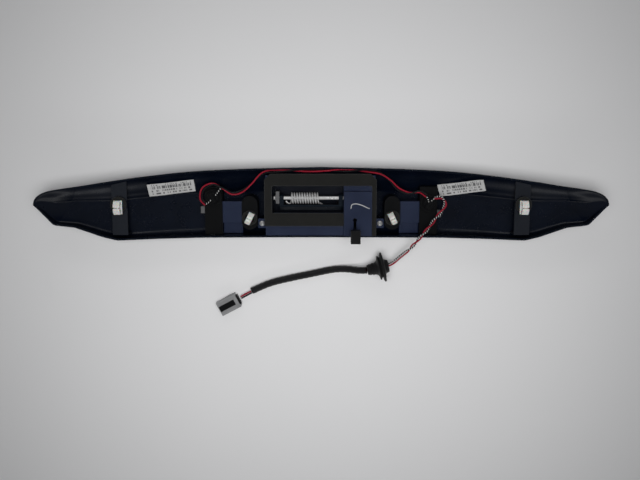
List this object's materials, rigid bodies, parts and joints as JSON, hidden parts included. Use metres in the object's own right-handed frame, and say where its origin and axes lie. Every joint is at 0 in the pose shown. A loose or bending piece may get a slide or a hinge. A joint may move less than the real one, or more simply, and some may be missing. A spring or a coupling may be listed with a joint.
{
  "type": "tailgate garnish with pull handle and lamps",
  "caption": "Crescent tailgate trim seen from inside: pull handle with spring and lever, plate lamps, clips and a harness with grommet and connector.",
  "frame": {"origin": "on the surface that the garnish lies on, under the middle of the garnish without its free harness", "axes": "+X along the garnish to the harness side, +Y up on the vehicle, +Z from the outer face into the vehicle"},
  "size_m": [0.96, 0.2665, 0.092],
  "materials": {
    "body_paint": "dark navy metallic paint over a moulded shell",
    "dark_plastic": "fine-grained moulded black",
    "sealing_foam": "closed-cell foam, dull",
    "black_rubber": "satin rubber",
    "bright_steel": "zinc-plated, bright",
    "white_nylon": "natural white nylon",
    "grey_plastic": "moulded mid grey",
    "clear_plastic": "clear lens",
    "bulb_glass": "clear glass",
    "label_paper": null,
    "red_insulation": "wire insulation",
    "black_insulation": "wire insulation"
  },
  "bodies": {
    "root": {"bulb_socket_left": "dark_plastic", "bulb_socket_right": "dark_plastic", "clip_tower_left": "dark_plastic", "clip_tower_right": "dark_plastic", "connector_housing": "grey_plastic", "connector_insert": "dark_plastic", "connector_latch": "dark_plastic", "connector_seal": "black_rubber", "end_bracket_left": "body_paint", "end_bracket_right": "body_paint", "end_clip_left": "white_nylon", "end_clip_right": "white_nylon", "end_seal_left": "sealing_foam", "end_seal_right": "sealing_foam", "feed_wire_black": "black_insulation", "feed_wire_red": "red_insulation", "garnish_panel": "body_paint", "grommet": "black_rubber", "handle_housing": "body_paint", "harness_sleeve": "black_rubber", "housing_gasket": "sealing_foam", "housing_screw_left": "bright_steel", "housing_screw_right": "bright_steel", "inner_clip_left": "white_nylon", "inner_clip_right": "white_nylon", "inner_seal_left": "sealing_foam", "inner_seal_right": "sealing_foam", "lamp_bulb_left": "bulb_glass", "lamp_bulb_right": "bulb_glass", "lamp_housing_left": "dark_plastic", "lamp_housing_right": "dark_plastic", "lamp_lens_left": "clear_plastic", "lamp_lens_right": "clear_plastic", "lamp_pocket_left": "body_paint", "lamp_pocket_right": "body_paint", "link_wire_black": "black_insulation", "link_wire_red": "red_insulation", "paddle_stop_left": "black_rubber", "paddle_stop_right": "black_rubber", "paper_label_left": "label_paper", "paper_label_right": "label_paper", "pivot_bracket": "grey_plastic", "plug_wire_black": "black_insulation", "plug_wire_red": "red_insulation", "return_spring": "bright_steel", "wire_clip_left": "grey_plastic", "wire_clip_right": "grey_plastic", "wire_hook": "bright_steel"},
    "handle": {"handle_paddle": "dark_plastic", "handle_shaft": "bright_steel", "shaft_clip_left": "bright_steel", "shaft_clip_right": "bright_steel", "lever_arm": "dark_plastic", "lever_cap": "black_rubber"}
  },
  "joints": [
    {"name": "handle_hinge", "type": "hinge", "parent": "root", "child": "handle", "pos_m": [0, 0.0086, 0.034], "axis": [-1, 0, 0], "range_deg": [0, 22], "stiffness_Nm_per_rad": 0.7, "springref_deg": -20.05, "deforming": ["return_spring"]}
  ]
}
